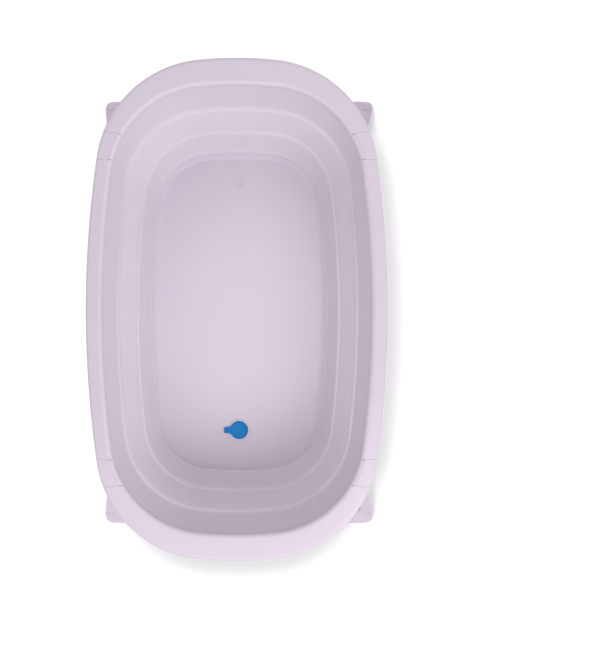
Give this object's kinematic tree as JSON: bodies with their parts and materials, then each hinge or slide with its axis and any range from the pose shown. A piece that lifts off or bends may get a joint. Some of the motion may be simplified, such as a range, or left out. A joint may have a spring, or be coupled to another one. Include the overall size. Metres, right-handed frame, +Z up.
{
  "type": "folding baby bathtub",
  "caption": "Oval folding bathtub for a baby, with a flanged rim, a stepped collapsing wall, a flat base with a drain plug, and splayed folding leg frames.",
  "frame": {"origin": "on the floor under the middle of the rim, with the tub opened and standing on its legs", "axes": "+Z up; +Y towards the head end, away from the drain; +X to the right seen from above with the head end up"},
  "size_m": [0.48, 0.8, 0.23],
  "materials": {
    "rim_plastic": "smooth moulded polypropylene, satin",
    "wall_elastomer": "soft thermoplastic elastomer, matt",
    "base_plastic": "moulded polypropylene with a fine grain",
    "inner_plastic": "moulded polypropylene, plain",
    "leg_plastic": "moulded polypropylene, satin",
    "plug_elastomer": "soft elastomer, satin",
    "pad_rubber": "non-slip rubber, matt",
    "screw_steel": "plated steel"
  },
  "bodies": {
    "rim": {"rim_shell": "rim_plastic", "wall_upper_band": "wall_elastomer", "wall_clamp_ring": "inner_plastic", "hinge_cap_head_left": "rim_plastic", "hinge_cap_head_right": "rim_plastic", "hinge_cap_foot_left": "rim_plastic", "hinge_cap_foot_right": "rim_plastic", "hinge_bracket_head_left": "inner_plastic", "hinge_bracket_head_right": "inner_plastic", "hinge_bracket_foot_left": "inner_plastic", "hinge_bracket_foot_right": "inner_plastic", "hinge_pin_head_left": "screw_steel", "hinge_pin_head_right": "screw_steel", "hinge_pin_foot_left": "screw_steel", "hinge_pin_foot_right": "screw_steel", "clamp_screw_01": "screw_steel", "clamp_screw_02": "screw_steel", "clamp_screw_03": "screw_steel", "clamp_screw_04": "screw_steel", "clamp_screw_05": "screw_steel", "clamp_screw_06": "screw_steel", "clamp_screw_07": "screw_steel", "clamp_screw_08": "screw_steel", "clamp_screw_09": "screw_steel", "clamp_screw_10": "screw_steel", "clamp_screw_11": "screw_steel", "clamp_screw_12": "screw_steel", "bracket_screw_head_left_1": "screw_steel", "bracket_screw_head_left_2": "screw_steel", "bracket_screw_head_right_1": "screw_steel", "bracket_screw_head_right_2": "screw_steel", "bracket_screw_foot_left_1": "screw_steel", "bracket_screw_foot_left_2": "screw_steel", "bracket_screw_foot_right_1": "screw_steel", "bracket_screw_foot_right_2": "screw_steel"},
    "base": {"base_pan": "base_plastic", "wall_lower_band": "wall_elastomer", "drain_seat": "inner_plastic", "drain_nut": "inner_plastic"},
    "fold_ring": {"wall_fold_band": "wall_elastomer"},
    "head_leg": {"leg_frame_head": "leg_plastic", "foot_pad_head_left": "pad_rubber", "foot_pad_head_right": "pad_rubber"},
    "foot_leg": {"leg_frame_foot": "leg_plastic", "foot_pad_foot_left": "pad_rubber", "foot_pad_foot_right": "pad_rubber"},
    "plug": {"drain_plug": "plug_elastomer"}
  },
  "joints": [
    {"name": "base_collapse", "type": "slide", "parent": "rim", "child": "base", "axis": [0, 0, 1], "range_m": [0, 0.124]},
    {"name": "fold_ring_lift", "type": "slide", "parent": "rim", "child": "fold_ring", "axis": [0, 0, 1], "range_m": [0, 0.062]},
    {"name": "head_leg_fold", "type": "hinge", "parent": "rim", "child": "head_leg", "pos_m": [0, 0.26, 0.185], "axis": [-1, 0, 0], "range_deg": [0, 101]},
    {"name": "foot_leg_fold", "type": "hinge", "parent": "rim", "child": "foot_leg", "pos_m": [0, -0.26, 0.185], "axis": [1, 0, 0], "range_deg": [0, 101]},
    {"name": "plug_lift", "type": "slide", "parent": "base", "child": "plug", "axis": [0, 0, 1], "range_m": [0, 0.04]}
  ],
  "couplings": [
    {"joint": "fold_ring_lift", "follows": "base_collapse", "ratio": 0.5},
    {"joint": "head_leg_fold", "follows": "base_collapse", "rad_per_m": 14.216},
    {"joint": "foot_leg_fold", "follows": "base_collapse", "rad_per_m": 14.216}
  ]
}
